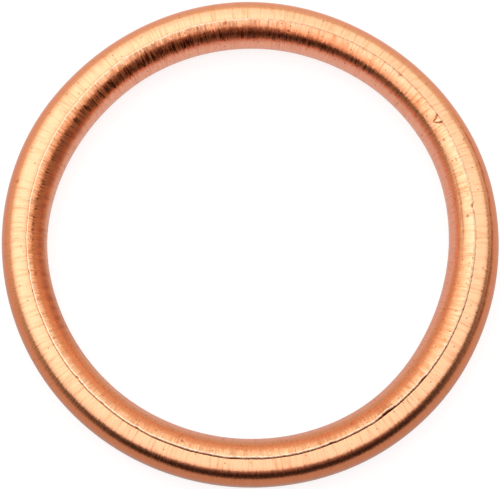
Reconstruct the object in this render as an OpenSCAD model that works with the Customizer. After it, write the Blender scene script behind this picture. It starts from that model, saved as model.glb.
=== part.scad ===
// Exhaust gasket: a copper ring that is crushed between a cylinder head and an exhaust pipe.
// One strip of sheet copper is rolled into a hollow round section, and its two long edges lap at
// the crown. The edge from the outer side bends in and runs beneath the other. The edge from the
// hole side lies on it: it stays straight where it leaves the round, as the end of a rolled strip
// does, and ends in a rounded lip that stands up by about the thickness of the sheet.
// The ring lies flat on its underside, with its seam up. Sizes are in millimetres.

/* [Ring] */
// Inside diameter of the ring, across its inner land
inside_d = 38; // [20:0.5:90]
// Diameter of the rolled section
section_d = 4.6; // [3.8:0.1:7]
// Depth to which the underside and both walls are pressed flat when the ring is sized
land_depth = 0.04; // [0.02:0.01:0.08]

/* [Sheet] */
// Thickness of the copper sheet
sheet_t = 0.3; // [0.2:0.02:0.4]
// Inside radius of the bend where the outer edge turns in beneath the lip
bend_r = 0.15; // [0.05:0.01:0.3]

/* [Seam] */
// Angle of the lip from the crown towards the hole, seen in the section
seam_angle = 5; // [0:1:12]
// Angle of the section over which the two layers lap
lap_angle = 50; // [42:1:60]
// Gap between the two layers of the lap
lap_gap = 0.02; // [0.01:0.01:0.05]

/* [Hidden] */
$fn = 128;

// How far a round reaches past the face that it runs into, so that the two cross cleanly
hair = 0.001;
// Sides of a sector's outline, which only has to stay outside the section
sector_sides = 4;
// How far the slit between the layers runs on past the lower layer's edge, into the hollow
slit_run_out = 2;

section_r = section_d / 2;
// Inner face of the wall
hollow_r = section_r - sheet_t;
// Outer and inner face of the layer that lies beneath the lip
lap_face_r = hollow_r - lap_gap;
lap_back_r = lap_face_r - sheet_t;
// Half the distance across the section's lands
land_r = section_r - land_depth;
ring_mid_r = inside_d / 2 + land_r;
reach = 2 * section_r;

// The lap is drawn with its straight stretch level, and then turned to lean towards the hole.
// Drawn like that, the lip's rounded edge stands straight above the bend of the lower layer.
bend_c_y = lap_back_r - bend_r;
bend_turn = acos(bend_c_y / (hollow_r - bend_r));
straight = bend_c_y * tan(bend_turn);
lip_c_y = section_r - hair - sheet_t / 2;
lip_at = atan(straight / lip_c_y);
lap_end_at = lip_at - lap_angle;
lip_lean = lip_at + seam_angle;

// A point of the section. Angles start at the crown and grow outward.
function polar(r, angle) = r * [sin(angle), cos(angle)];

// A slice of the section between two angles
module sector(from, to) {
    turn = (to - from) / sector_sides;
    polygon([[0, 0], for (i = [0 : sector_sides]) polar(reach, from + i * turn)]);
}

// A level band above the section's centre, between two heights
module band(length, from_y, to_y) {
    translate([0, from_y]) square([length, to_y - from_y]);
}

// A round of radius r whose sides and underside are pressed flat
module pressed_round(r) {
    flat_at = r - land_depth;
    intersection() {
        circle(r);
        translate([-flat_at, -flat_at]) square([2 * flat_at, flat_at + reach]);
    }
}

module bend_round(r) {
    translate([straight, bend_c_y]) circle(r + hair);
}

module lip_round() {
    translate([straight, lip_c_y]) circle(sheet_t / 2 + hair);
}

// The straight stretch and the rounded edge in which the upper layer ends
module lip() {
    band(straight, hollow_r - lap_gap / 2, section_r - hair);
    lip_round();
}

// What one face of the lower layer encloses, from its hidden edge to its bend
module under_lap(face_r, round_r) {
    circle(face_r);
    band(straight, 0, face_r - hair);
    bend_round(round_r);
}

// The slit between the two layers, and the groove between the lip and the bend
module seam_gap() {
    difference() {
        union() {
            polygon([[straight, bend_c_y], [straight, reach], polar(reach, bend_turn)]);
            band(straight + bend_r / 2, 0, hollow_r - hair);
            intersection() {
                circle(hollow_r);
                sector(lap_end_at - slit_run_out, lip_at);
            }
        }
        under_lap(lap_face_r, bend_r + sheet_t);
        lip_round();
    }
}

// The room that the lower layer takes from the inside of the roll
module lap_room() {
    difference() {
        sector(lap_end_at, bend_turn);
        under_lap(lap_back_r, bend_r);
    }
}

// The rolled strip, cut across
module rolled_section() {
    difference() {
        union() {
            pressed_round(section_r);
            rotate(lip_lean) lip();
        }
        difference() {
            pressed_round(hollow_r);
            rotate(lip_lean) lap_room();
        }
        rotate(lip_lean) seam_gap();
    }
}

module gasket_ring() {
    color("#d08a5c")
    translate([0, 0, land_r])
    rotate_extrude(convexity = 8)
    translate([ring_mid_r, 0])
    rolled_section();
}

gasket_ring();
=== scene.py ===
# %% [markdown]
# A copper exhaust gasket, dressed for its picture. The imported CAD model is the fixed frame: it
# gives the ring's place and size. Here it gets what a real one shows: a rolled strip with a ragged
# lip, fine drawn lines, tarnish, pits and a tear, under soft studio light.

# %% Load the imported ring
import math

import bpy
import numpy as np
from mathutils import Matrix, Vector


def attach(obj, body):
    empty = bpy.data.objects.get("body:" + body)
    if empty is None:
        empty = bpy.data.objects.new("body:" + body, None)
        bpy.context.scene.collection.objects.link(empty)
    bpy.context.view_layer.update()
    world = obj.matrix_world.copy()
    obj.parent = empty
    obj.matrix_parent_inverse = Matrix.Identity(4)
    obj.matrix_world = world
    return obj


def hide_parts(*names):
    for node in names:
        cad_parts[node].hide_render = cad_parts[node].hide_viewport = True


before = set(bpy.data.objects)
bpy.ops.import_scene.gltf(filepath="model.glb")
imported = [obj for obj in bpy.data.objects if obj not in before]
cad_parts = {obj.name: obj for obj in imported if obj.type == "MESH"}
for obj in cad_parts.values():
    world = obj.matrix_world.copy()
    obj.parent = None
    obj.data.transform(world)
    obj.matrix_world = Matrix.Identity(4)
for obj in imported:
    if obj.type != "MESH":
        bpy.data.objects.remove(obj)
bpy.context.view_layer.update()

MM = 0.001

# %% [markdown]
# The real ring starts as a strip of sheet copper, rolled lengthwise until its edges lap. So its
# section is one line of sheet that overlaps itself. It could be drawn freehand, but the CAD has
# it as arcs and straight stretches, and the same few sizes give the same section here. Angles of
# the section start at the crown and grow outward. All of the work on the shape is in millimetres.

# %% Sizes of the rolled strip
INSIDE_D = 38.0
SECTION_R = 2.3
LAND_DEPTH = 0.04
SHEET_T = 0.3
BEND_R = 0.15
LAP_GAP = 0.02
LAP_ANGLE = 50.0

hollow_r = SECTION_R - SHEET_T
lap_face_r = hollow_r - LAP_GAP
lap_back_r = lap_face_r - SHEET_T
land_r = SECTION_R - LAND_DEPTH
ring_r = INSIDE_D / 2 + land_r

# The lap, drawn with its straight stretch level: the lip stands above the lower layer's bend.
bend_y = lap_back_r - BEND_R
bend_turn = math.degrees(math.acos(bend_y / (hollow_r - BEND_R)))
straight = bend_y * math.tan(math.radians(bend_turn))
lip_y = SECTION_R - SHEET_T / 2
lip_at = math.degrees(math.atan2(straight, lip_y))
lap_end_at = lip_at - LAP_ANGLE
print(f"straight stretch {straight:.2f} mm, bend {bend_turn:.1f} degrees, lip at {lip_at:.1f}")

# %% [markdown]
# Nothing on a rolled ring is quite even, so its section is worked out anew at many stations round
# the ring. They could all be the same distance apart, but a nick of a third of a millimetre needs
# more points than a smooth stretch does. So they stand closer together at the damage.

# %% Stations round the ring
STATIONS = 1080
PLACES_TRIED = 14401
# Damage that gets more stations: its degrees, its width in degrees, how many times more
CLOSE_LOOKS = [(30.8, 2.2, 4.0), (305.2, 2.5, 2.0), (311.2, 2.0, 2.0), (264.9, 1.5, 1.0),
               (5.6, 1.0, 1.0)]


def apart(a, b):
    """Degrees from b to a round the ring, between -180 and 180."""
    return (a - b + 180.0) % 360.0 - 180.0


def station_places():
    """Degrees of the stations. They stand closer together where the lip is damaged."""
    tried = np.linspace(0.0, 360.0, PLACES_TRIED)
    density = np.ones_like(tried)
    for at, width, more in CLOSE_LOOKS:
        density += more * np.exp(-(apart(tried, at) / width) ** 2)
    filled = np.concatenate([[0.0], np.cumsum((density[1:] + density[:-1]) / 2)])
    wanted = np.arange(STATIONS) * filled[-1] / STATIONS
    return np.interp(wanted, filled, tried)


theta = station_places()
gaps = np.radians(np.diff(theta)) * ring_r
print(f"{len(theta)} stations, {gaps.min():.2f} to {gaps.max():.2f} mm apart")

# %% [markdown]
# The seam wanders to and fro, the tube is a little fat in one place and thin in another, and the lip is
# ragged. Each of these is one value that changes round the ring. Listed marks joined by a smooth curve
# give the large changes, and a sum of waves with a fixed seed gives the small ones, because it closes on
# itself without a join.

# %% Marks, waves and bumps
GRID_STEP = 0.5
# Degrees over which the marks are smoothed: those of the seam, of shapes, of masks and of dirt
SEAM_BLUR = 9.0
SHAPE_BLUR = 8.0
MASK_BLUR = 6.0
DIRT_BLUR = 5.0


def marks(points, blur):
    """A smooth closed curve round the ring through (degrees, value) marks."""
    grid = np.arange(0.0, 360.0, GRID_STEP)
    at, value = zip(*points)
    rough = np.interp(grid, at, value, period=360.0)
    weight = np.exp(-(apart(grid, 0.0) / blur) ** 2)
    smooth = np.fft.irfft(np.fft.rfft(rough) * np.fft.rfft(weight / weight.sum()), len(grid))
    return np.interp(theta, grid, smooth, period=360.0)


def waves(lowest, highest, seed):
    """Even, closed noise about zero, of strength 1, with that many waves round the ring."""
    rng = np.random.default_rng(seed)
    counts = np.arange(lowest, highest + 1)
    phase = rng.uniform(0.0, 2 * math.pi, len(counts))
    size = rng.normal(0.0, 1.0, len(counts))
    total = np.zeros_like(theta)
    for count, shift, strength in zip(counts, phase, size):
        total += strength * np.sin(count * np.radians(theta) + shift)
    return total / total.std()


def bump(at, width):
    """A soft hump at one place on the ring, 1 high. The width is in mm along the ring."""
    mm_away = np.radians(apart(theta, at)) * ring_r
    return np.exp(-(mm_away / (width / 2)) ** 2)


print(f"a bump 1 mm wide lifts {(bump(0.0, 1.0) > 0.5).sum()} stations by half or more")

# %% Wander of the seam and of the tube
# Degrees from the crown to the lip, seen in the section
seam_angle = marks([(0, 5), (30, 4), (60, 3), (90, 7), (120, 9), (150, 12), (180, 15.5),
                    (210, 12), (240, 8), (270, 6), (300, 11), (330, 5)], SEAM_BLUR)
# The small changes: a strength times waves, with the fewest and the most of them, and their seed
seam_angle += 0.25 * waves(12, 40, 1)
lean = lip_at + seam_angle
# How much fatter the tube is, as a share of its size
fatness = marks([(5, 0.015), (28, -0.045), (52, -0.08), (75, -0.035), (95, -0.005), (120, -0.015),
                 (150, 0.025), (180, -0.075), (205, -0.02), (285, -0.01), (305, 0.0), (328, 0.075),
                 (348, 0.055)], SHAPE_BLUR)
# How far the tube lies outside its true circle, in mm
drift = marks([(0, -0.01), (20, 0.09), (40, 0.0), (60, -0.07), (88, 0.02), (110, -0.06), (135, -0.18),
               (155, -0.06), (178, 0.08), (200, -0.02), (250, -0.01), (272, 0.05), (300, 0.22),
               (318, 0.11), (335, -0.06), (350, -0.04)], SHAPE_BLUR)
print(f"lean of the lip {lean.min():.1f} to {lean.max():.1f} degrees")

# %% [markdown]
# The lip is where the ring shows that it was made from strip. Its edge was sheared, so it is
# ragged, and it has nicks, a tear with two cracks, and places where it gapes. These could be
# painted on, but light catches a real edge, so the edge itself moves: it is cut back where it is
# nicked, lifted where it gapes, and thinner where it was hammered down.

# %% Wear of the lip
# Each nick: its degrees, its width and its depth in mm
NICKS = [(5.6, 0.35, 0.20), (45.7, 0.30, 0.16), (85.4, 0.3, 0.08), (189.0, 0.3, 0.07),
         (219.4, 0.3, 0.16), (228.4, 0.4, 0.07), (239.5, 0.2, 0.08), (289.5, 0.3, 0.08),
         (305.2, 1.4, 0.10), (317.5, 0.9, 0.08), (346.9, 0.2, 0.08)]
# Each gape: its degrees, its width and its height in mm
GAPES = [(305.2, 1.6, 0.10), (264.9, 0.7, 0.05), (318.0, 0.7, 0.05), (289.5, 0.4, 0.04),
         (310.5, 0.6, 0.03)]

# Thickness of the sheet at its edge
edge_t = marks([(0, 0.27), (30, 0.23), (60, 0.22), (85, 0.28), (120, 0.26), (145, 0.20), (165, 0.18),
                (185, 0.18), (215, 0.26), (240, 0.28), (320, 0.28), (345, 0.28)], SHAPE_BLUR)
edge_t *= 1.0 + 0.05 * waves(60, 420, 5)
# How far the lip reaches past its straight stretch, and how far it is cut back in all
over = marks([(0, 0.08), (30, 0.08), (50, 0.05), (80, 0.08), (190, 0.10), (215, 0.12), (235, 0.09),
              (250, 0.06), (325, 0.06)], SHAPE_BLUR)
cut_back = 0.012 * waves(60, 420, 2) + 0.010 * waves(15, 60, 3) - over
for at, width, depth in NICKS:
    cut_back += depth * bump(at, width)
lift = marks([(0, 0.0), (60, 0.005), (100, 0.0), (225, 0.0), (245, 0.015), (320, 0.015),
              (345, 0.01)], SHAPE_BLUR)
lift += 0.006 * waves(9, 60, 4)
for at, width, height in GAPES:
    lift += height * bump(at, width)
lift = np.clip(lift, 0.0, None)
dip = np.clip(0.006 * waves(8, 50, 6), 0.0, None)
print(f"lip cut back by up to {cut_back.max():.2f} mm, lifted by up to {lift.max():.2f} mm")

# %% [markdown]
# Now the section is swept round the ring. Every station gets the same number of points, so the
# sweep is a grid of quads. A screw modifier would make a perfect ring and nothing else, while
# points worked out at every station can follow the wander and the wear. Arcs and level lines are
# all that the section needs, as in the CAD.

# %% Arcs and level lines at every station


def column(value):
    """One number, or one for each station, as a column with a row for every station."""
    return np.broadcast_to(np.asarray(value, float), theta.shape)[:, None]


def arc(cx, cy, radius, start, end, count):
    """Points of an arc at every station, as two arrays. Angles start at the top and run outward."""
    part = np.linspace(0.0, 1.0, count)[None, :]
    angle = np.radians(column(start) + (column(end) - column(start)) * part)
    x = column(cx) + column(radius) * np.sin(angle)
    y = column(cy) + column(radius) * np.cos(angle)
    return x, y


def level(height, start, end, count):
    """Points of a level line at every station."""
    part = np.linspace(0.0, 1.0, count)[None, :]
    x = column(start) + (column(end) - column(start)) * part
    return x, np.broadcast_to(np.asarray(height, float), x.shape)


print("x of a quarter circle in three points:", arc(0, 0, 1.0, 0.0, 90.0, 3)[0][0].round(2))

# %% [markdown]
# Rollers and press leave their own traces on the section: flat lands at the walls and the
# underside, layers that are bent up or down a little, a sheet that thins towards its edge, and a
# flank on the hole side that is flatter than a true round. Sculpting could make them, but it would
# have to be done again after each change. So each is a small function that moves points, and a
# step of the section passes through the ones that it needs.

# %% What the rollers and the press do
# The bend's outside ends this many degrees before the round goes on
BEND_SHORT = 2.0
# The bending goes on growing past the straight stretch, up to this many times its length
MOST_BENT_AT = 1.2
bend_stop = bend_turn - BEND_SHORT
bend_end = straight + (BEND_R + SHEET_T) * math.sin(math.radians(bend_stop))
lip_x = straight - cut_back


def turned(xy):
    """The lap's own drawing, turned to lean towards the hole."""
    x, y = xy
    c = np.cos(np.radians(lean))[:, None]
    s = np.sin(np.radians(lean))[:, None]
    return x * c - y * s, x * s + y * c


def pressed(xy, flat):
    """Points of a round, pressed flat at both walls and the underside."""
    x, y = xy
    return np.clip(x, -flat, flat), np.maximum(y, -flat)


def bent_share(x):
    """How far a layer of the lap is bent here: not at its root, and most at its edge."""
    return np.clip(x / straight, 0.0, MOST_BENT_AT) ** 2


def lowered(xy):
    """The lower layer, bent down a little towards its bend, and back at the bend's far end."""
    x, y = xy
    back_up = np.clip((bend_end - x) / (bend_end - straight), 0.0, 1.0)
    return x, y - dip[:, None] * bent_share(x) * back_up


def lifted(xy):
    """The upper layer, raised towards its lip."""
    x, y = xy
    return x, y + lift[:, None] * bent_share(x)


def thinned(xy):
    """The top of the upper layer, which falls as the sheet thins towards its edge."""
    x, y = xy
    fall = (SHEET_T - edge_t)[:, None]
    return x, y - fall * np.clip(x / lip_x[:, None], 0.0, 1.0) ** 2


print(f"the bend's outside ends {bend_end:.2f} mm from the lap's root")

# %% The flatter flank on the hole side
# Section angles where the flatter flank begins, is deepest and ends, and its depth in mm
FLAT_FROM = -19.0
FLAT_DEEPEST = -50.0
FLAT_TO = -94.0
flat_depth = marks([(0, 0.11), (30, 0.07), (60, 0.06), (85, 0.10), (115, 0.10), (140, 0.06),
                    (165, 0.03), (190, 0.04), (230, 0.08), (270, 0.09), (300, 0.10),
                    (330, 0.14)], SHAPE_BLUR)


def eased(share):
    """A share between 0 and 1 that starts and stops softly."""
    share = np.clip(share, 0.0, 1.0)
    return share * share * (3 - 2 * share)


def flattened(xy):
    """The hole side, a little flatter below the flap, where the roller pressed."""
    x, y = xy
    at = np.degrees(np.arctan2(x, y))
    begun = eased((at - FLAT_FROM) / (FLAT_DEEPEST - FLAT_FROM))
    left = eased((FLAT_TO - at) / (FLAT_TO - FLAT_DEEPEST))
    smaller = 1.0 - flat_depth[:, None] * begun * left / SECTION_R
    return x * smaller, y * smaller


print(f"hole side flatter by {flat_depth.min():.2f} to {flat_depth.max():.2f} mm")

# %% [markdown]
# The section is drawn in one go, as a pen would follow the sheet's outline: over the bend, round
# the outside, beneath and up the hole side, over the flap and the lip, back through the slit, and
# round the inside to where it began. One long list of points could hold it, but named steps can be
# pressed, dirtied and finished by their names. The faces that show get a point at every station,
# about an eighth of a millimetre apart. The underside and the inside of the roll get every fourth.

# %% Steps of the section
POINTS = {"bend": 7, "outer": 27, "under": 23, "inner": 19, "flap": 10, "lip": 9, "slit": 4,
          "inside": 31, "bend_in": 4, "back": 4, "lap_back": 5, "lap_face": 5, "face": 5}
FINE = ("bend", "outer", "inner", "flap", "lip")
COARSE_EVERY = 4
# Section angle of the last fine point on the wall, and how much further the coarse ones begin
SIDE_AT = 100.0
UNDER_FURTHER = 6.0
# How far steps keep off their neighbours, so that no two points meet: degrees, then mm
HOLE_SHORT = 3.0
CORNER_SHORT = 4.0
LIP_FROM = 12.0
FLAP_SHORT = 0.04
SLIT_SHORT = 0.10
BACK_SHORT = 0.15
FACE_SHORT = 0.12

lip_r = edge_t / 2
lip_mid = SECTION_R - SHEET_T + lip_r
bend_at = bend_turn - lean
hole_stop = 360.0 - lean - HOLE_SHORT
under_at = SIDE_AT + UNDER_FURTHER
flat_out = SECTION_R - LAND_DEPTH
flat_in = hollow_r - LAND_DEPTH
steps = {
    "bend": turned(lowered(arc(straight, bend_y, BEND_R + SHEET_T, 0.0, bend_stop, POINTS["bend"]))),
    "outer": pressed(arc(0, 0, SECTION_R, bend_at, SIDE_AT, POINTS["outer"]), flat_out),
    "under": pressed(arc(0, 0, SECTION_R, under_at, 360.0 - under_at, POINTS["under"]), flat_out),
    "inner": pressed(arc(0, 0, SECTION_R, 360.0 - SIDE_AT, hole_stop, POINTS["inner"]), flat_out),
    "flap": turned(lifted(thinned(level(SECTION_R, 0.0, lip_x - FLAP_SHORT, POINTS["flap"])))),
    "lip": turned(lifted(arc(lip_x, lip_mid, lip_r, LIP_FROM, 180.0, POINTS["lip"]))),
    "slit": turned(lifted(level(hollow_r, lip_x - SLIT_SHORT, 0.0, POINTS["slit"]))),
    "inside": pressed(arc(0, 0, hollow_r, -lean - CORNER_SHORT, bend_at - 360.0, POINTS["inside"]),
                      flat_in),
    "bend_in": turned(lowered(arc(straight, bend_y, BEND_R, bend_turn - CORNER_SHORT, 0.0,
                                  POINTS["bend_in"]))),
    "back": turned(lowered(level(lap_back_r, straight - BACK_SHORT, 0.0, POINTS["back"]))),
    "lap_back": turned(arc(0, 0, lap_back_r, -CORNER_SHORT, lap_end_at, POINTS["lap_back"])),
    "lap_face": turned(arc(0, 0, lap_face_r, lap_end_at, -CORNER_SHORT, POINTS["lap_face"])),
    "face": turned(lowered(level(lap_face_r, 0.0, straight - FACE_SHORT, POINTS["face"]))),
}
for name in ("inner", "flap"):
    steps[name] = flattened(steps[name])
section_x = np.concatenate([steps[name][0] for name in steps], axis=1)
section_y = np.concatenate([steps[name][1] for name in steps], axis=1)
step_of = np.concatenate([[i] * POINTS[name] for i, name in enumerate(steps)])
is_fine = np.array([name in FINE for name in steps])[step_of]
across = np.hypot(np.diff(section_x, axis=1), np.diff(section_y, axis=1)).mean(axis=0)
across = np.concatenate([[0.0], np.cumsum(across)])
print(f"{len(step_of)} points a section, {is_fine.sum()} of them fine, strip {across[-1]:.1f} mm")

# %% [markdown]
# Small wounds come next. A texture could fake them, but geometry gives them true shadows. Each wound
# pushes the nearby points a little into the copper, and leaves a mark of grime on them, which the
# copper's material reads later to darken the spot, as dirt does on the real part. The same mark also
# carries painted shade in the seam's mouth, set further down.

# %% How a wound presses points in
TINY = 1e-9
tangent_x = np.gradient(section_x, axis=1)
tangent_y = np.gradient(section_y, axis=1)
length = np.hypot(tangent_x, tangent_y) + TINY
normal_x = -tangent_y / length
normal_y = tangent_x / length
grime_and_shade = np.zeros_like(section_x)


def along_from(at):
    """Distance along the ring from a place on it, in mm, at every station."""
    return np.radians(apart(theta, at))[:, None] * ring_r


def index_of(*names):
    """Numbers of the section's points that belong to some of its steps."""
    return np.flatnonzero(np.isin(step_of, [list(steps).index(name) for name in names]))


def press(columns, strength, depth, dirt):
    """Pushes some of the section's points inwards, and dirties them."""
    section_x[:, columns] -= normal_x[:, columns] * depth * strength
    section_y[:, columns] -= normal_y[:, columns] * depth * strength
    grime_and_shade[:, columns] = np.maximum(grime_and_shade[:, columns], dirt * np.clip(strength, 0.0, 1.0))


face = index_of("outer", "inner", "flap")
print(f"{len(face)} points of the section can be pitted and scratched")

# %% The tear at the lip
TEAR_AT = 30.3
# Each crack: mm from the tear's middle at the lip, mm that it swings by its end, its length, dirt
CRACKS = [(0.46, -0.45, 1.00, 0.62), (-0.56, 0.56, 0.95, 0.52)]
CRACK_WIDTH = 0.085
CRACK_DEPTH = 0.09
# A crack's width at the lip and how much it narrows by its end, as shares of its width
CRACK_MOUTH = 1.1
CRACK_NARROWS = 0.5
# Shares of its length at which it is gone, over which it fades, and to which it is worked out
CRACK_GONE = 1.1
CRACK_FADE = 0.2
CRACK_MOST = 1.2
CRACK_CURVE = 1.2
SHAKE_MM = 0.03
SHAKE_TURNS = 9.0

top = np.concatenate([index_of("flap"), index_of("lip")[:6]])
from_lip = across[index_of("lip")[4]] - across[top][None, :]
for begins, swing, reach, dirt in CRACKS:
    gone = np.clip(from_lip / reach, 0.0, CRACK_MOST)
    middle = begins + swing * gone ** CRACK_CURVE + SHAKE_MM * np.sin(SHAKE_TURNS * from_lip)
    off = (along_from(TEAR_AT) - middle) / (CRACK_WIDTH * (CRACK_MOUTH - CRACK_NARROWS * gone))
    crack = np.exp(-off ** 2) * np.clip((CRACK_GONE - gone) / CRACK_FADE, 0.0, 1.0)
    press(top, crack, CRACK_DEPTH, dirt)
print(f"{len(CRACKS)} cracks at {TEAR_AT} degrees")

# %% Pits and scratches
# Each pit: its degrees, its section angle, its radius and its depth in mm
PITS = [(24.9, -20, 0.10, 0.05), (3.3, -17, 0.12, 0.03), (29.9, -14, 0.06, 0.03),
        (28.3, -26, 0.05, 0.02), (165.3, 36, 0.10, 0.06), (189.4, -27, 0.12, 0.04),
        (243.6, -22, 0.07, 0.04), (251.0, -22, 0.10, 0.06), (235.5, -50, 0.08, 0.04),
        (238.3, -50, 0.07, 0.04), (253.6, -42, 0.07, 0.04), (335.0, 20, 0.08, 0.03),
        (310.1, -3, 0.10, 0.06), (311.6, -4, 0.11, 0.07), (29.8, -72, 0.09, 0.03),
        (78.0, -25, 0.08, 0.03), (95.0, -12, 0.07, 0.03)]
PIT_DIRT = 0.8
# Each scratch across the section: its degrees, the section angle of its middle, half its reach
SCRATCHES = [(218.6, 12, 16), (244.9, 22, 14), (311.2, 6, 10), (335.2, 14, 16), (165.1, 40, 6)]
SCRATCH_WIDTH = 0.06
SCRATCH_DEPTH = 0.015
SCRATCH_DIRT = 0.45

section_at = np.degrees(np.arctan2(section_x[:, face], section_y[:, face]))
for at, where, radius, depth in PITS:
    away = np.hypot(along_from(at), np.radians(section_at - where) * SECTION_R)
    press(face, np.exp(-(away / radius) ** 2), depth, PIT_DIRT)
for at, where, reach in SCRATCHES:
    near = np.exp(-(along_from(at) / SCRATCH_WIDTH) ** 2) * np.exp(-((section_at - where) / reach) ** 2)
    press(face, near, SCRATCH_DEPTH, SCRATCH_DIRT)
print(f"{len(PITS)} pits, {len(SCRATCHES)} scratches")

# %% [markdown]
# A tray of rings rubs them against each other, which leaves long, shallow, dirty marks along them. Dirt
# also settles on the lip's rim, and the seam's mouth is darkened as painted shade in the crevice between
# the lip and the bend. Both could be drawn by hand in texture paint, but a mark that follows the
# section's own angle stays where it is when the shape changes.

# %% Rubs, dirt on the rim, and painted shade in the seam's mouth
# Each rub along the ring: from and to degrees, its section angle, its width in degrees, its dirt
RUBS = [(-12.0, 24.0, -31.0, 2.6, 0.40), (183.0, 226.0, -72.0, 2.6, 0.45),
        (134.0, 214.0, -50.0, 14.0, 0.55), (-34.0, 34.0, 42.0, 2.8, 0.80)]
RUB_FADE = 12.0
RUB_DEPTH = 0.012
rub_wander = 0.5 * waves(8, 60, 8)
rub_strength = np.clip(0.85 + 0.15 * waves(30, 200, 9), 0.0, 1.1)
for begins, stops, where, wide, dirt in RUBS:
    middle = (begins + stops) / 2
    inside = np.clip((stops - begins) / 2 - np.abs(apart(theta, middle)), 0.0, RUB_FADE) / RUB_FADE
    off = (section_at - (where + rub_wander)[:, None]) / wide
    press(face, np.exp(-off ** 2) * (inside * rub_strength)[:, None], RUB_DEPTH, dirt)


def darkened(columns, amount):
    """Darkens some of the section's points through the grime mark: dirt on the lip's rim, painted shade
    in the seam's mouth. The amount is one value a station.
    """
    grime_and_shade[:, columns] = np.maximum(grime_and_shade[:, columns], np.clip(amount, 0.0, 1.0)[:, None])


# Painted shade in the seam's mouth, the crevice under the lip: darkest where the seam shows as a dark
# line
mouth_shade = marks([(0, 0.1), (28, 0.1), (38, 0.5), (65, 0.5), (85, 0.2), (110, 0.05), (150, 0.0),
                    (225, 0.0), (238, 0.3), (248, 0.6), (310, 0.6), (335, 0.4), (350, 0.2)], DIRT_BLUR)
mouth_shade += 0.15 * waves(40, 300, 7)
rim_dirt = marks([(0, 0.3), (28, 0.3), (38, 0.4), (75, 0.35), (90, 0.15), (125, 0.1), (150, 0.0),
                  (235, 0.0), (250, 0.1), (325, 0.15), (345, 0.3)], DIRT_BLUR)
rim_dirt += 0.07 * waves(60, 400, 10)
# The rim is the top of the lip's round, and the mouth is its lower part and the bend across from it
darkened(index_of("lip")[:3], rim_dirt)
darkened(np.concatenate([index_of("lip")[5:], index_of("bend")[:4]]), mouth_shade)
print(f"{len(RUBS)} rubs, grime on {(grime_and_shade > 0.3).mean():.1%} of points")

# %% [markdown]
# Attributes go with the points, for the materials to read. Strip says where a point lies on the strip in
# millimetres, and its first two numbers go round a circle, so that a pattern read from it closes on
# itself. Turn is the angle in the section. The other attributes are masks. The flap's tarnish changes
# round the ring. The flanks are made redder than the crown as painted shade, where they turn away from
# the light. The wall of the hole is a duller pink, partly its own finish and partly a painted reflection
# of the pale floor, and the hole side below the flap is partly burnt and partly painted shade. Where the
# copper is scuffed, its lines differ more in gloss. A UV map could carry all this too, but it would need
# an image painted for it.

# %% What the points carry
# How much of the tube's fatness shows in its height, which the press keeps nearly even
HEIGHT_SHARE = 0.3
radial = ring_r + drift[:, None] + section_x * (1.0 + fatness)[:, None]
height = land_r + section_y * (1.0 + HEIGHT_SHARE * fatness)[:, None]
height = np.maximum(height, 0.0)
angle = np.radians(theta)[:, None]
points = np.stack([radial * np.cos(angle), radial * np.sin(angle), height], axis=-1)
strip = np.stack([
    np.broadcast_to(ring_r * np.cos(angle), radial.shape),
    np.broadcast_to(ring_r * np.sin(angle), radial.shape),
    np.broadcast_to(across[None, :], radial.shape),
], axis=-1)
turn = np.degrees(np.arctan2(section_x, section_y))
inwards = -turn


def rises(value, start, over):
    """A mask that rises from 0 at start to 1, over that much more."""
    return np.clip((value - start) / over, 0.0, 1.0)


flap_tarnish = marks([(0, 0.45), (30, 0.0), (60, 0.1), (82, 0.6), (130, 0.6), (150, 0.5), (180, 0.8),
                      (210, 0.7), (240, 0.95), (270, 0.95), (300, 0.95), (335, 0.8),
                      (350, 0.6)], MASK_BLUR)
# How much redder the hole side turns round the ring: partly a burnt stain, partly painted shade below
# the highlight
burn_and_shade = marks([(0, 0.1), (15, 0.2), (35, 0.55), (60, 0.8), (120, 0.8), (150, 0.9), (195, 0.9),
               (215, 0.6), (235, 0.2)], MASK_BLUR)
# Section angle at which the pink wall of the hole begins. Its pink is partly a painted reflection of the
# floor
wall_from = marks([(0, 44), (30, 43), (60, 43), (90, 45), (120, 48), (145, 57), (180, 68), (215, 60),
                   (240, 51), (330, 51)], SHAPE_BLUR)[:, None]
scuff = marks([(0, 0.12), (50, 0.15), (90, 0.15), (112, 0.42), (150, 0.40), (180, 0.50), (212, 0.30),
               (330, 0.15)], MASK_BLUR)
on_flap = rises(inwards, 4.0, 24.0) * flap_tarnish[:, None]
# The flanks take the tarnish colour as painted shade, where they turn away from the light
on_flanks = np.maximum(rises(inwards, 28.0, 12.0), rises(turn, 20.0, 20.0))
carried = {
    "grime_and_shade": grime_and_shade,
    "turn": turn,
    "tarnish_and_shade": np.maximum(on_flap, on_flanks),
    "burnt_and_shaded": burn_and_shade[:, None] * rises(inwards, 12.0, 14.0) * rises(wall_from, inwards, 5.0),
    "wall_and_reflection": rises(inwards, wall_from, 7.0),
    "scuffed": np.broadcast_to(scuff[:, None], turn.shape),
}
print("the points carry strip,", ", ".join(carried))

# %% [markdown]
# The grid of points becomes one mesh. from_pydata takes plain lists of points and faces, which is
# the shortest way when every point is known. Rows of quads run round the ring between two points
# of the section. Where a fine row meets a coarse one, a fan of triangles joins four quads' width to
# one, so that no gap opens between them.

# %% Rows of faces round the ring
COARSE_COUNT = STATIONS // COARSE_EVERY
# The triangles between four fine edges and a coarse one. Numbers are fine points, c and d coarse ones
FAN = [("c", 1, 0), ("c", 2, 1), ("c", "d", 2), ("d", 3, 2), ("d", 4, 3)]


def in_mesh_order(values):
    """The values of the mesh's points: those of every station, or of every fourth where coarse."""
    rows = [values[::1 if fine else COARSE_EVERY, p] for p, fine in enumerate(is_fine)]
    return np.concatenate(rows)


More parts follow.
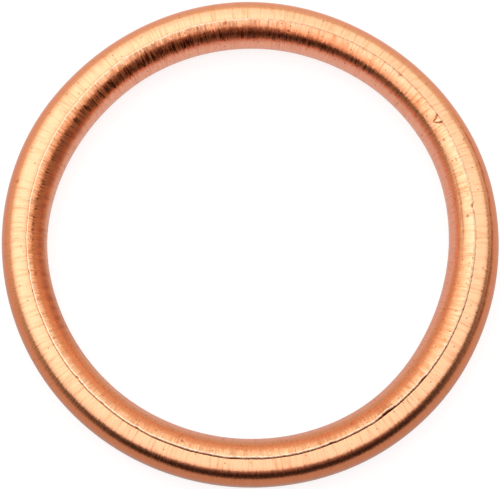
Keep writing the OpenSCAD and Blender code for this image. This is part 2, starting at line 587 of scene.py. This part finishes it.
def quads(near, far, count):
    """A row of quads round the ring, between two rows of points that start at these numbers."""
    i = np.arange(count)
    j = (i + 1) % count
    return np.stack([near + i, far + i, far + j, near + j], axis=1)


def fans(fine, coarse):
    """A row of triangles round the ring, between a fine row of points and a coarse one."""
    i = np.arange(COARSE_COUNT)
    corner = {k: fine + (i * COARSE_EVERY + k) % STATIONS for k in range(COARSE_EVERY + 1)}
    corner["c"] = coarse + i
    corner["d"] = coarse + (i + 1) % COARSE_COUNT
    return np.stack([np.stack([corner[k] for k in fan], axis=1) for fan in FAN], axis=1).reshape(-1, 3)


print(f"{len(FAN)} triangles join {COARSE_EVERY} fine edges to a coarse one")

# %% Points and faces of the ring
row_lengths = np.where(is_fine, STATIONS, COARSE_COUNT)
first = np.cumsum(row_lengths) - row_lengths
faces = []
face_step = []
for p in range(len(step_of)):
    q = (p + 1) % len(step_of)
    if is_fine[p] == is_fine[q]:
        rows = quads(first[p], first[q], row_lengths[p])
    elif is_fine[p]:
        rows = fans(first[p], first[q])
    else:
        rows = fans(first[q], first[p])[:, ::-1]
    faces.extend(rows.tolist())
    face_step.extend([step_of[p]] * len(rows))

mesh = bpy.data.meshes.new("rolled_ring")
mesh.from_pydata((in_mesh_order(points) * MM).tolist(), [], faces)
mesh.polygons.foreach_set("use_smooth", [True] * len(faces))
attribute = mesh.attributes.new("strip", "FLOAT_VECTOR", "POINT")
attribute.data.foreach_set("vector", in_mesh_order(strip).astype(np.float32).ravel())
for name, values in carried.items():
    attribute = mesh.attributes.new(name, "FLOAT", "POINT")
    attribute.data.foreach_set("value", in_mesh_order(values).astype(np.float32).ravel())
ring = bpy.data.objects.new("rolled_ring", mesh)
bpy.context.scene.collection.objects.link(ring)
print(f"ring: {len(mesh.vertices)} points, {sum(len(f) - 2 for f in faces)} triangles")

# %% [markdown]
# Materials are made of nodes. They could be laid out by hand in the shader editor. A few small
# helpers do the same in code: each adds a node, fills in its values, links what it is given, and
# gives back the node's result.

# %% Helpers for groups and nodes


def new_group(name, inputs, outputs):
    """An empty shader node group with named sockets. Each input is (name, type, value)."""
    group = bpy.data.node_groups.new(name, "ShaderNodeTree")
    for label, kind, value in inputs:
        socket = group.interface.new_socket(label, in_out="INPUT", socket_type=kind)
        if value is not None:
            socket.default_value = value
    for label, kind in outputs:
        group.interface.new_socket(label, in_out="OUTPUT", socket_type=kind)
    return group, group.nodes.new("NodeGroupInput"), group.nodes.new("NodeGroupOutput")


def node(tree, kind, **settings):
    """A node with its settings. A setting named in_X fills the input with that name or number."""
    made = tree.nodes.new(kind)
    for key, value in settings.items():
        if key.startswith("in_"):
            label = key[3:]
            made.inputs[int(label) if label.isdigit() else label.replace("_", " ")].default_value = value
        else:
            setattr(made, key, value)
    return made


print("helpers: new_group, node")

# %% Helpers for numbers and vectors


def maths(tree, operation, a, b):
    """A Math node. Each of a and b is a socket or a number."""
    made = node(tree, "ShaderNodeMath", operation=operation)
    for i, given in enumerate((a, b)):
        if isinstance(given, (int, float)):
            made.inputs[i].default_value = given
        else:
            tree.links.new(given, made.inputs[i])
    return made.outputs[0]


def ramp(tree, fac, low, high, out_low=0.0, out_high=1.0):
    """A Map Range node from a mask to a range of values."""
    made = node(tree, "ShaderNodeMapRange", clamp=True)
    ends = {"From Min": low, "From Max": high, "To Min": out_low, "To Max": out_high}
    for label, value in ends.items():
        made.inputs[label].default_value = value
    tree.links.new(fac, made.inputs["Value"])
    return made.outputs["Result"]


def stretched(tree, vector, scale):
    """Coordinates multiplied by a fixed scale."""
    made = node(tree, "ShaderNodeVectorMath", in_1=scale, operation="MULTIPLY")
    tree.links.new(vector, made.inputs[0])
    return made.outputs[0]


def scaled(tree, vector, factor):
    """A vector made longer or shorter by a factor, which is a socket."""
    made = node(tree, "ShaderNodeVectorMath", operation="SCALE")
    tree.links.new(vector, made.inputs[0])
    tree.links.new(factor, made.inputs["Scale"])
    return made.outputs[0]


def joined(tree, operation, *vectors):
    """A Vector Math node that works on one or two vectors."""
    made = node(tree, "ShaderNodeVectorMath", operation=operation)
    for i, vector in enumerate(vectors):
        tree.links.new(vector, made.inputs[i])
    return made.outputs[0]


print("helpers: maths, ramp, stretched, scaled, joined")

# %% Helpers for noise and colours
NOISE_MIDDLE = 0.5
NOISE_SWING = 4.0


def noise(tree, place, detail, roughness, scale=1.0):
    """A cloudy value from 0 to 1 at a place."""
    made = node(tree, "ShaderNodeTexNoise", in_Scale=scale, in_Detail=detail, in_Roughness=roughness)
    tree.links.new(place, made.inputs["Vector"])
    return made.outputs["Fac"]


def even_noise(tree, place, detail, roughness):
    """The same, spread to both sides of zero."""
    off_middle = maths(tree, "SUBTRACT", noise(tree, place, detail, roughness), NOISE_MIDDLE)
    return maths(tree, "MULTIPLY", off_middle, NOISE_SWING)


def blend(tree, below, above, mask):
    """Lays one colour over another through a mask. Each is a colour or a socket."""
    mix = node(tree, "ShaderNodeMix", data_type="RGBA", clamp_factor=True)
    for label, given in (("A", below), ("B", above)):
        if isinstance(given, tuple):
            mix.inputs[label].default_value = (*given, 1.0)
        else:
            tree.links.new(given, mix.inputs[label])
    tree.links.new(mask, mix.inputs["Factor"])
    return mix.outputs["Result"]


print("helpers: noise, even_noise, blend")

# %% [markdown]
# Five effects show on the copper, and each becomes a node group, so that every finish can use it
# with its own values. Drawn lines run across the strip, because the last roller scuffed it that
# way. The comb tips the surface a little to and fro from one line to the next, which is what makes
# a reflection's edge ragged; a bump of the same lines would be too fine to do that.

# %% Drawn lines and comb
# Each set of lines: how many a mm round the ring, how many changes a mm along a line
LINE_SETS = ((7.0, 0.50), (3.6, 0.40), (0.9, 0.25))
SECOND_SHARE = 0.8
BROAD_SHARE = 0.35
COMB_LINES = (5.0, 0.9)
COMB_MOST = 0.2


def drawn_lines_group():
    """Fine lines across the strip: a sharp set for the relief, and a broad set for the polish."""
    group, start, end = new_group(
        "drawn_lines",
        [("Strip", "NodeSocketVector", None), ("Strength", "NodeSocketFloat", 1.0)],
        [("Lines", "NodeSocketFloat"), ("Bands", "NodeSocketFloat")])
    sets = []
    for per_mm, along in LINE_SETS:
        place = stretched(group, start.outputs["Strip"], (per_mm, per_mm, along))
        sets.append(even_noise(group, place, detail=1.0, roughness=0.6))
    sharp = maths(group, "ADD", sets[0], maths(group, "MULTIPLY", sets[1], SECOND_SHARE))
    bands = maths(group, "ADD", maths(group, "MULTIPLY", sets[2], BROAD_SHARE), sets[1])
    group.links.new(maths(group, "MULTIPLY", sharp, start.outputs["Strength"]), end.inputs["Lines"])
    group.links.new(bands, end.inputs["Bands"])
    return group


def comb_group():
    """A normal that tips to and fro across the strip, from one line to the next, like a comb."""
    group, start, end = new_group(
        "comb",
        [("Strip", "NodeSocketVector", None), ("Tip", "NodeSocketFloat", 0.05)],
        [("Normal", "NodeSocketVector")])
    per_mm, along = COMB_LINES
    place = stretched(group, start.outputs["Strip"], (per_mm, per_mm, along))
    swing = even_noise(group, place, detail=1.0, roughness=0.5)
    tip = maths(group, "MULTIPLY", maths(group, "MINIMUM", swing, COMB_MOST), start.outputs["Tip"])
    upright = node(group, "ShaderNodeNewGeometry").outputs["Normal"]
    round_way = node(group, "ShaderNodeTangent", direction_type="RADIAL", axis="Z").outputs[0]
    over_way = joined(group, "CROSS_PRODUCT", upright, round_way)
    tipped = joined(group, "ADD", upright, scaled(group, over_way, tip))
    group.links.new(joined(group, "NORMALIZE", tipped), end.inputs["Normal"])
    return group


drawn_lines = drawn_lines_group()
comb = comb_group()
print("node groups:", drawn_lines.name, comb.name)

# %% [markdown]
# Grain is the even roughness of pressed sheet. Tarnish is a slow change of colour, in clouds. Pits
# are small dark specks: a cell pattern gives each speck its own place, and keeps them apart as
# plain noise would not.

# %% Grain, tarnish and pits
CLOUD_SCALE = 0.35
SPECK_EDGE = (0.12, 0.24)


def grain_group():
    """Fine even grain, as pressed sheet has, about zero."""
    group, start, end = new_group(
        "grain",
        [("Strip", "NodeSocketVector", None), ("Per mm", "NodeSocketFloat", 4.0)],
        [("Grain", "NodeSocketFloat")])
    place = scaled(group, start.outputs["Strip"], start.outputs["Per mm"])
    group.links.new(even_noise(group, place, detail=2.0, roughness=0.6), end.inputs["Grain"])
    return group


def tarnish_group():
    """Clouds of tarnish, large and small, as a mask from 0 to 1."""
    group, start, end = new_group(
        "tarnish",
        [("Strip", "NodeSocketVector", None), ("Low", "NodeSocketFloat", 0.4),
         ("High", "NodeSocketFloat", 0.7)],
        [("Mask", "NodeSocketFloat")])
    spread = node(group, "ShaderNodeMapRange", clamp=True)
    cloud = noise(group, start.outputs["Strip"], detail=5.0, roughness=0.6, scale=CLOUD_SCALE)
    group.links.new(cloud, spread.inputs["Value"])
    group.links.new(start.outputs["Low"], spread.inputs["From Min"])
    group.links.new(start.outputs["High"], spread.inputs["From Max"])
    group.links.new(spread.outputs["Result"], end.inputs["Mask"])
    return group


def pits_group():
    """Small specks, kept to the cells of a pattern whose own colour lets them through."""
    group, start, end = new_group(
        "pits",
        [("Strip", "NodeSocketVector", None), ("Per mm", "NodeSocketFloat", 3.0),
         ("Amount", "NodeSocketFloat", 0.3)],
        [("Mask", "NodeSocketFloat")])
    cells = node(group, "ShaderNodeTexVoronoi", in_Scale=1.0, in_Randomness=1.0)
    place = scaled(group, start.outputs["Strip"], start.outputs["Per mm"])
    group.links.new(place, cells.inputs["Vector"])
    dots = ramp(group, cells.outputs["Distance"], *SPECK_EDGE, 1.0, 0.0)
    chosen = node(group, "ShaderNodeSeparateColor")
    group.links.new(cells.outputs["Color"], chosen.inputs[0])
    few = maths(group, "LESS_THAN", chosen.outputs[0], start.outputs["Amount"])
    group.links.new(maths(group, "MULTIPLY", dots, few), end.inputs["Mask"])
    return group


grain = grain_group()
tarnish = tarnish_group()
pits = pits_group()
print("node groups:", grain.name, tarnish.name, pits.name)

# %% [markdown]
# Copper is a metal, so its colour is the colour of its reflections: a Principled shader with
# Metallic at 1. Brushed metal blurs a reflection across its lines and keeps it sharp along them,
# which the Anisotropic value does. The lines also tilt the surface a little, through a Bump node.
# Each colour is laid over the last one through a mask: streaks of duller copper, tarnish on the flap
# with painted shade on the flanks, two redder zones of painted shade down the outside, the hole side,
# partly burnt and partly painted shade, its pink wall, partly a painted reflection of the floor, fine
# shade along the lines, and last the specks, the grime of the wounds and the painted shade in the seam's
# mouth.

# %% Colours of the copper
DRAWN = (0.95, 0.57, 0.33)
DULL = (0.85, 0.42, 0.22)
FLAP = (0.96, 0.64, 0.38)
FLAP_DULL = (0.84, 0.38, 0.17)
# The lip is paler than copper: partly its polish, partly a painted highlight on its rounded edge
LIP = (0.98, 0.82, 0.60)
LIP_DULL = (0.96, 0.66, 0.42)
INSIDE = (0.62, 0.24, 0.11)
INSIDE_DULL = (0.40, 0.13, 0.06)
# Tarnish on the flap, and painted shade on the flanks that turn away from the light
TARNISH_AND_SHADE = (0.85, 0.36, 0.17)
# Each zone of painted shade, redder where the outside turns away from the light: its colour, and the
# section angles where it begins and where it is full
SHADE_ZONES = [
    ((0.86, 0.30, 0.14), 36.0, 48.0),
    ((0.76, 0.33, 0.20), 64.0, 78.0),
]
# The hole side: partly a burnt stain, partly painted shade
BURNT_AND_SHADE = (0.86, 0.28, 0.11)
# The pink wall of the hole: partly its duller finish, partly a painted reflection of the pale floor
WALL_AND_REFLECTION = (0.96, 0.43, 0.28)
SHADE = (0.58, 0.23, 0.10)
SPECK = (0.45, 0.14, 0.06)
# Colours of the grime: a stain and black oxide at the wounds, and painted shade in the seam's mouth
STAIN_AND_SHADE = (0.50, 0.15, 0.07)
OXIDE_AND_SHADE = (0.14, 0.045, 0.03)
print(f"copper's own colour: {DRAWN}")

# %% Measures of a copper finish
ANISOTROPY = 0.4
GRAIN_PER_MM = 4.5
SPECKS_PER_MM = 2.2
# How strongly the texture streaks the first colour and shades the last one
STREAK_SHARE = 0.35
SHADE_SHARE = 0.15
# How strongly specks colour the copper, and how far they count as grime for gloss and relief
SPECK_SHARE = 0.75
SPECK_GRIME = 0.3
# Grime at which a stain begins and is full, and at which black oxide does. In the seam's mouth the same
# colours are painted shade
STAIN_RANGE = (0.0, 0.6)
OXIDE_RANGE = (0.5, 1.0)
# How strongly broad bands change the gloss, and the texture values at the two ends of its range
BAND_SHARE = 0.1
GLOSS_ENDS = (-1.0, 1.2)
GRIME_DEPTH = 3.0
print(f"{GRAIN_PER_MM} grains and {SPECKS_PER_MM} cells for specks a mm")

# %% Recipe of a copper finish


def carried_by_points(tree, name, output="Fac"):
    """An attribute of the mesh's points."""
    return node(tree, "ShaderNodeAttribute", attribute_name=name).outputs[output]


def copper(name, bright, dull, gloss, lines, tip, grains, relief_mm, clouds, specks):
    """A copper finish. Colours are linear, gloss is the two ends of its roughness, lines, tip and
    grains are strengths, clouds says where tarnish begins and is full, specks how many there are."""
    material = bpy.data.materials.new(name)
    material.use_nodes = True
    tree = material.node_tree
    shader = tree.nodes["Principled BSDF"]
    shader.inputs["Metallic"].default_value = 1.0
    shader.inputs["Anisotropic"].default_value = ANISOTROPY
    place = carried_by_points(tree, "strip", "Vector")
    wounds_and_shade = carried_by_points(tree, "grime_and_shade")
    section_angle = carried_by_points(tree, "turn")

    drawn = node(tree, "ShaderNodeGroup", node_tree=drawn_lines, in_Strength=lines)
    grained = node(tree, "ShaderNodeGroup", node_tree=grain, in_Per_mm=GRAIN_PER_MM)
    clouded = node(tree, "ShaderNodeGroup", node_tree=tarnish, in_Low=clouds[0], in_High=clouds[1])
    specked = node(tree, "ShaderNodeGroup", node_tree=pits, in_Per_mm=SPECKS_PER_MM, in_Amount=specks)
    tipped = node(tree, "ShaderNodeGroup", node_tree=comb, in_Tip=tip)
    for group in (drawn, grained, clouded, specked, tipped):
        tree.links.new(place, group.inputs["Strip"])
    fine_grain = maths(tree, "MULTIPLY", grained.outputs["Grain"], grains)
    texture = maths(tree, "ADD", drawn.outputs["Lines"], fine_grain)
    speck = specked.outputs["Mask"]
    spots = maths(tree, "MAXIMUM", wounds_and_shade, maths(tree, "MULTIPLY", speck, SPECK_GRIME))

    streaky = maths(tree, "ADD", maths(tree, "MULTIPLY", texture, STREAK_SHARE), clouded.outputs["Mask"])
    # Past the dull streaks, the layers paint shade on the flanks, in the zones and on the hole side, a
    # reflection on the wall, and shade in the seam's mouth
    layers = [(dull, streaky), (TARNISH_AND_SHADE, carried_by_points(tree, "tarnish_and_shade"))]
    layers += [(tint, ramp(tree, section_angle, start, full)) for tint, start, full in SHADE_ZONES]
    layers += [
        (BURNT_AND_SHADE, carried_by_points(tree, "burnt_and_shaded")),
        (WALL_AND_REFLECTION, carried_by_points(tree, "wall_and_reflection")),
        (SHADE, maths(tree, "MULTIPLY", texture, SHADE_SHARE)),
        (SPECK, maths(tree, "MULTIPLY", speck, SPECK_SHARE)),
        (STAIN_AND_SHADE, ramp(tree, wounds_and_shade, *STAIN_RANGE)),
        (OXIDE_AND_SHADE, ramp(tree, wounds_and_shade, *OXIDE_RANGE)),
    ]
    colour = bright
    for above, mask in layers:
        colour = blend(tree, colour, above, mask)
    tree.links.new(colour, shader.inputs["Base Color"])

    scuffs = maths(tree, "MULTIPLY", texture, carried_by_points(tree, "scuffed"))
    dulled = maths(tree, "ADD", maths(tree, "ADD", scuffs, spots),
                   maths(tree, "MULTIPLY", drawn.outputs["Bands"], BAND_SHARE))
    tree.links.new(ramp(tree, dulled, *GLOSS_ENDS, *gloss), shader.inputs["Roughness"])

    relief = node(tree, "ShaderNodeBump", in_Strength=1.0, in_Distance=relief_mm * MM)
    rise = maths(tree, "SUBTRACT", texture, maths(tree, "MULTIPLY", spots, GRIME_DEPTH))
    tree.links.new(rise, relief.inputs["Height"])
    tree.links.new(tipped.outputs["Normal"], relief.inputs["Normal"])
    tree.links.new(relief.outputs["Normal"], shader.inputs["Normal"])
    return material


print(f"recipe ready, with {len(SHADE_ZONES)} zones down the outside")

# %% [markdown]
# Four finishes share that recipe: the drawn outside, the rougher flap beside the seam, the lip, polished
# and made paler by a painted highlight, and the dull inside. One finish with more masks could do it all,
# but four are easier to tune one by one. Each face takes the finish of the step of the section that it
# starts from.

# %% Copper finishes
finishes = [
    copper("copper_drawn", DRAWN, DULL, gloss=(0.20, 0.33), lines=1.3, tip=0.026, grains=0.4,
           relief_mm=0.003, clouds=(0.52, 0.92), specks=0.16),
    copper("copper_flap", FLAP, FLAP_DULL, gloss=(0.03, 0.58), lines=1.3, tip=0.042, grains=0.6,
           relief_mm=0.003, clouds=(0.40, 0.80), specks=0.35),
    copper("copper_lip", LIP, LIP_DULL, gloss=(0.15, 0.35), lines=0.5, tip=0.05, grains=0.5,
           relief_mm=0.003, clouds=(0.45, 0.80), specks=0.05),
    copper("copper_inside", INSIDE, INSIDE_DULL, gloss=(0.40, 0.65), lines=0.5, tip=0.0, grains=1.0,
           relief_mm=0.004, clouds=(0.3, 0.7), specks=0.20),
]
for finish in finishes:
    mesh.materials.append(finish)
FINISH_OF_STEP = {"bend": "copper_drawn", "outer": "copper_drawn", "under": "copper_drawn",
                  "inner": "copper_flap", "flap": "copper_flap", "lip": "copper_lip"}
names = [finish.name for finish in finishes]
by_step = [names.index(FINISH_OF_STEP.get(step, "copper_inside")) for step in steps]
mesh.polygons.foreach_set("material_index", [by_step[s] for s in face_step])
mesh.update()
print("finishes:", names)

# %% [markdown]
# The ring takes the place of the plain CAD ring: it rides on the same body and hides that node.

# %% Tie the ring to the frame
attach(ring, "root")
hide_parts("gasket_ring")
print(f"{ring.name} stands for the CAD ring")

# %% [markdown]
# The photograph has no ground, only white. A pale floor gives the same picture and still holds a
# contact shadow: its shader adds a little light of its own, only for the camera and for what is
# seen in the copper, until open floor is white. The copper sees less of it at the near side,
# where the floor of the real table runs out. No lamp has to be stronger for this.

# %% Pale floor
FLOOR_SIZE = 6.0
FLOOR_GREY = (0.32, 0.32, 0.32, 1.0)
FLOOR_LIGHT = 0.78
# Light that the copper sees from the floor, and the metres from near to far over which it grows
MIRRORED_LIGHT = (0.26, 0.52)
MIRRORED_OVER = (-0.030, 0.030)
half = FLOOR_SIZE / 2
corners = [(-half, -half, 0), (half, -half, 0), (half, half, 0), (-half, half, 0)]
floor_mesh = bpy.data.meshes.new("floor")
floor_mesh.from_pydata(corners, [], [(0, 1, 2, 3)])
floor = bpy.data.objects.new("floor", floor_mesh)
bpy.context.scene.collection.objects.link(floor)
floor_material = bpy.data.materials.new("pale_floor")
floor_material.use_nodes = True
tree = floor_material.node_tree
tree.nodes.remove(tree.nodes["Principled BSDF"])
matt = node(tree, "ShaderNodeBsdfDiffuse", in_Color=FLOOR_GREY)
rays = node(tree, "ShaderNodeLightPath")
seen = maths(tree, "MAXIMUM", rays.outputs["Is Camera Ray"], rays.outputs["Is Transmission Ray"])
spot = node(tree, "ShaderNodeSeparateXYZ")
tree.links.new(node(tree, "ShaderNodeNewGeometry").outputs["Position"], spot.inputs[0])
far_share = ramp(tree, spot.outputs["Y"], *MIRRORED_OVER, *MIRRORED_LIGHT)
mirrored = maths(tree, "MULTIPLY", rays.outputs["Is Glossy Ray"], far_share)
own_light = node(tree, "ShaderNodeEmission")
strength = maths(tree, "MAXIMUM", maths(tree, "MULTIPLY", seen, FLOOR_LIGHT), mirrored)
tree.links.new(strength, own_light.inputs["Strength"])
both = node(tree, "ShaderNodeAddShader")
tree.links.new(matt.outputs[0], both.inputs[0])
tree.links.new(own_light.outputs[0], both.inputs[1])
tree.links.new(both.outputs[0], tree.nodes["Material Output"].inputs["Surface"])
floor_mesh.materials.append(floor_material)
print(f"floor: {FLOOR_SIZE} m square")

# %% [markdown]
# The light is one large oval softbox overhead, as over a product table, with a brighter core where
# its bulb is. It doesn't reach far to the near side, so the flanks that face there mirror something
# darker.

# %% Softbox
SOFTBOX_PLACE = (-0.20, 0.66, 0.50)
SOFTBOX_WIDE, SOFTBOX_DEEP = 2.74, 2.42
SOFTBOX_RADIANCE = 1.05
CORE_PLACE = (-0.47, 0.29, 0.49)
CORE_WIDE, CORE_DEEP = 0.96, 0.80
CORE_RADIANCE = 0.30


def oval_lamp(name, place, wide, deep, radiance):
    """An oval area lamp that faces down. Its power is worked out from its radiance and its size."""
    lamp = bpy.data.lights.new(name, "AREA")
    lamp.shape = "ELLIPSE"
    lamp.size = wide
    lamp.size_y = deep
    lamp.energy = radiance * math.pi * (math.pi / 4 * wide * deep)
    box = bpy.data.objects.new(name, lamp)
    box.location = place
    bpy.context.scene.collection.objects.link(box)
    print(f"{name}: {wide} by {deep} m, {lamp.energy:.1f} W")


oval_lamp("softbox", SOFTBOX_PLACE, SOFTBOX_WIDE, SOFTBOX_DEEP, SOFTBOX_RADIANCE)
oval_lamp("core", CORE_PLACE, CORE_WIDE, CORE_DEEP, CORE_RADIANCE)

# %% [markdown]
# The world fills in the rest: a warm belt of lit wall low down at the far side, under a darker
# ceiling, and the unlit part of the room at the near side. Gradients worked out from the direction
# make it, with no picture. A polished part shows its room more than its lamps, so the dark bands
# on the copper are drawn here.

# %% Room
BELT = (0.88, 0.74, 0.64)
CEILING = (0.17, 0.14, 0.11)
DIM = (0.012, 0.005, 0.006)
GLOW = (0.08, 0.035, 0.025)
EMBER = (0.36, 0.14, 0.12)
DIM_AZIMUTH = math.radians(276.0)
# How far a direction points to the dim side where the room begins to dim and where it is all dim
DIM_RANGE = (-0.35, 0.72)
# How high it points where the ceiling begins and is full, the glow is full and gone, and the
# ember begins and is full
CEILING_RANGE = (0.24, 0.36)
GLOW_RANGE = (0.0, 0.26)
EMBER_RANGE = (0.38, 0.68)
GLOW_CURVE = 1.8
EMBER_CURVE = 1.5

world = bpy.data.worlds.new("room")
bpy.context.scene.world = world
world.use_nodes = True
tree = world.node_tree
background = tree.nodes["Background"]
direction = node(tree, "ShaderNodeTexCoord").outputs["Generated"]
level_way = joined(tree, "NORMALIZE", stretched(tree, direction, (1.0, 1.0, 0.0)))
towards = node(tree, "ShaderNodeVectorMath", operation="DOT_PRODUCT")
towards.inputs[1].default_value = (math.cos(DIM_AZIMUTH), math.sin(DIM_AZIMUTH), 0.0)
tree.links.new(level_way, towards.inputs[0])
height_of = node(tree, "ShaderNodeSeparateXYZ")
tree.links.new(direction, height_of.inputs[0])

rise = height_of.outputs["Z"]
lit_side = blend(tree, BELT, CEILING, ramp(tree, rise, *CEILING_RANGE))
low = maths(tree, "POWER", ramp(tree, rise, *GLOW_RANGE, 1.0, 0.0), GLOW_CURVE)
high = maths(tree, "POWER", ramp(tree, rise, *EMBER_RANGE), EMBER_CURVE)
dim_side = blend(tree, blend(tree, DIM, GLOW, low), EMBER, high)
sky = blend(tree, lit_side, dim_side, ramp(tree, towards.outputs["Value"], *DIM_RANGE))
tree.links.new(sky, background.inputs["Color"])
background.inputs["Strength"].default_value = 1.0
print("world:", len(tree.nodes), "nodes")

# %% [markdown]
# The camera looks down at the ring from 77 degrees, about 21 cm away, through a long lens. It is
# set by its own axes, because the photograph is also turned by a degree and a half, and its middle
# lies a little below the ring's.

# %% Camera
ELEVATION = math.radians(77.1)
ROLL = math.radians(-1.43)
DISTANCE = 10.0 * ring_r * MM
LENS = 161.5
SENSOR = 36.0
CLIP_START = 0.01
BELOW_MIDDLE = 0.51 * MM
RIGHT_OF_MIDDLE = 0.06 * MM
backward = Vector((0.0, -math.cos(ELEVATION), math.sin(ELEVATION)))
right = Vector((1.0, 0.0, 0.0))
up = backward.cross(right)
right, up = right * math.cos(ROLL) + up * math.sin(ROLL), up * math.cos(ROLL) - right * math.sin(ROLL)
target = Vector((0.0, 0.0, land_r * MM)) - up * BELOW_MIDDLE + right * RIGHT_OF_MIDDLE
place = target + backward * DISTANCE
camera_data = bpy.data.cameras.new("camera")
camera_data.lens = LENS
camera_data.sensor_width = SENSOR
camera_data.sensor_fit = "HORIZONTAL"
camera_data.clip_start = CLIP_START
camera = bpy.data.objects.new("camera", camera_data)
axes = Matrix((right, up, backward)).transposed().to_4x4()
camera.matrix_world = Matrix.Translation(place) @ axes
bpy.context.scene.collection.objects.link(camera)
bpy.context.scene.camera = camera
bpy.context.scene.view_settings.view_transform = "Standard"
print("camera at mm:", [round(v / MM, 1) for v in place])

# %% [markdown]
# Last, the view layer is updated once more.

# %% Last update of the view layer
bpy.context.view_layer.update()
